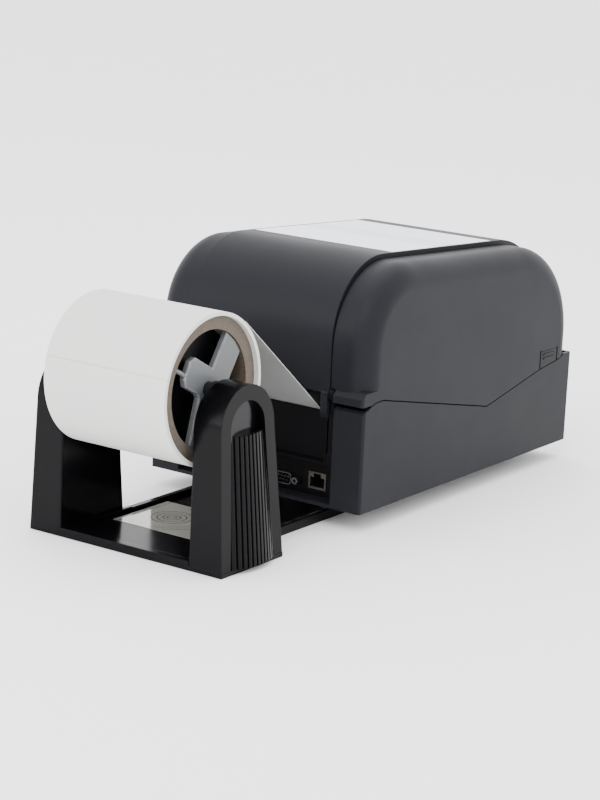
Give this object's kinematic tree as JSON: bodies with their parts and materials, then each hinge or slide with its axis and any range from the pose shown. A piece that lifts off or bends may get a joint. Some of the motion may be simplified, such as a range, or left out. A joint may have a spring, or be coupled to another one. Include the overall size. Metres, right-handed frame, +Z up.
{
  "type": "thermal label printer with outside roll holder",
  "caption": "Desktop thermal label printer with a hinged lid and window, fed from a label roll on a two-post holder behind it.",
  "frame": {"origin": "on the table, under the middle of the whole object's box", "axes": "+Z up, -Y towards the printer's front where the label comes out, +Y towards the roll holder, +X to the right seen from the front"},
  "size_m": [0.1772, 0.4424, 0.1784],
  "materials": {
    "charcoal_plastic": "fine texture, satin",
    "dark_plastic": "satin",
    "window_plastic": "gloss",
    "holder_gloss": "gloss",
    "plated_steel": "satin",
    "head_aluminium": "satin",
    "motor_black": "satin",
    "board_green": "satin",
    "rubber_black": "matte",
    "gear_nylon": "satin",
    "lens_clear": "gloss",
    "label_paper": "matte",
    "core_board": "matte",
    "adapter_grey": "satin",
    "spindle_black": "gloss"
  },
  "bodies": {
    "base": {"lower_housing": "charcoal_plastic", "rear_panel": "dark_plastic", "hinge_pins": "plated_steel", "main_board": "board_green", "ethernet_port": "dark_plastic", "serial_port": "plated_steel", "jack_screws": "plated_steel", "usb_port": "plated_steel", "power_inlet": "dark_plastic", "switch_body": "dark_plastic", "rubber_feet": "rubber_black", "housing_screws": "plated_steel", "status_lenses": "lens_clear", "button_board": "board_green", "inner_deck": "dark_plastic", "chassis": "plated_steel", "platen_bearings": "gear_nylon", "stepper_motor": "motor_black", "sensor_rail": "plated_steel", "tear_bar": "plated_steel", "label_web": "label_paper", "holder_base": "holder_gloss", "post_left": "holder_gloss", "post_right": "holder_gloss", "post_cover_left": "holder_gloss", "post_cover_right": "holder_gloss", "holder_screws": "plated_steel", "guide_sticker": "label_paper"},
    "lid": {"lid_shell": "charcoal_plastic", "lid_window": "window_plastic", "lid_liner": "dark_plastic", "side_cap_left": "charcoal_plastic", "side_cap_right": "charcoal_plastic", "head_frame": "head_aluminium", "head_springs": "plated_steel"},
    "tab_left": {"cover_tab_left": "charcoal_plastic"},
    "tab_right": {"cover_tab_right": "charcoal_plastic"},
    "rocker": {"power_rocker": "dark_plastic"},
    "button": {"feed_button": "charcoal_plastic"},
    "platen": {"platen_shaft": "plated_steel", "platen_sleeve": "rubber_black", "platen_gear": "gear_nylon"},
    "idler": {"idler_gear": "gear_nylon"},
    "pinion": {"motor_pinion": "plated_steel"},
    "roller": {"guide_roller": "dark_plastic"},
    "guide_left": {"label_guide_left": "dark_plastic"},
    "guide_right": {"label_guide_right": "dark_plastic"},
    "guide_wheel": {"guide_pinion": "gear_nylon"},
    "sensor": {"label_sensor": "dark_plastic"},
    "head": {"head_bracket": "head_aluminium", "print_head": "head_aluminium"},
    "roll": {"label_core": "core_board", "label_roll": "label_paper", "core_adapter_left": "adapter_grey", "core_adapter_right": "adapter_grey", "core_hub": "dark_plastic", "spindle_rod": "spindle_black"}
  },
  "joints": [
    {"name": "lid_hinge", "type": "hinge", "parent": "base", "child": "lid", "pos_m": [0, 0.0572, 0.09], "axis": [-1, 0, 0], "range_deg": [0, 50]},
    {"name": "tab_left_press", "type": "slide", "parent": "lid", "child": "tab_left", "axis": [1, 0, 0], "range_m": [0, 0.002], "stiffness_N_per_m": 2500},
    {"name": "tab_right_press", "type": "slide", "parent": "lid", "child": "tab_right", "axis": [-1, 0, 0], "range_m": [0, 0.002], "stiffness_N_per_m": 2500},
    {"name": "rocker_tilt", "type": "hinge", "parent": "base", "child": "rocker", "pos_m": [0.051, 0.0442, 0.0295], "axis": [-1, 0, 0], "range_deg": [0, 22]},
    {"name": "feed_press", "type": "slide", "parent": "base", "child": "button", "axis": [0, 1, 0], "range_m": [0, 0.0015], "stiffness_N_per_m": 1200},
    {"name": "platen_turn", "type": "hinge", "parent": "base", "child": "platen", "pos_m": [0, -0.1983, 0.071], "axis": [1, 0, 0], "continuous": true},
    {"name": "idler_turn", "type": "hinge", "parent": "base", "child": "idler", "pos_m": [0, -0.17655, 0.05075], "axis": [1, 0, 0], "continuous": true},
    {"name": "pinion_turn", "type": "hinge", "parent": "base", "child": "pinion", "pos_m": [0, -0.1523, 0.045], "axis": [1, 0, 0], "continuous": true},
    {"name": "roller_turn", "type": "hinge", "parent": "base", "child": "roller", "pos_m": [0, 0.02134, 0.06367], "axis": [1, 0, 0], "continuous": true},
    {"name": "guide_right_slide", "type": "slide", "parent": "base", "child": "guide_right", "axis": [1, 0, 0], "range_m": [0, 0.006]},
    {"name": "guide_left_slide", "type": "slide", "parent": "base", "child": "guide_left", "axis": [1, 0, 0], "range_m": [-0.006, 0]},
    {"name": "guide_wheel_turn", "type": "hinge", "parent": "base", "child": "guide_wheel", "pos_m": [0, -0.0403, 0], "axis": [0, 0, 1], "range_deg": [0, 53.71]},
    {"name": "sensor_slide", "type": "slide", "parent": "base", "child": "sensor", "axis": [1, 0, 0], "range_m": [-0.02, 0.02]},
    {"name": "head_lift", "type": "hinge", "parent": "lid", "child": "head", "pos_m": [0, -0.1663, 0.096], "axis": [-1, 0, 0], "range_deg": [0, 3], "stiffness_Nm_per_rad": 12, "deforming": ["head_springs"]},
    {"name": "roll_turn", "type": "hinge", "parent": "base", "child": "roll", "pos_m": [0, 0.1717, 0.1108], "axis": [1, 0, 0], "continuous": true}
  ],
  "couplings": [
    {"joint": "idler_turn", "follows": "platen_turn", "ratio": -0.6087},
    {"joint": "pinion_turn", "follows": "platen_turn", "ratio": 1.75},
    {"joint": "guide_left_slide", "follows": "guide_right_slide", "ratio": -1},
    {"joint": "guide_wheel_turn", "follows": "guide_right_slide", "rad_per_m": 156.25}
  ]
}
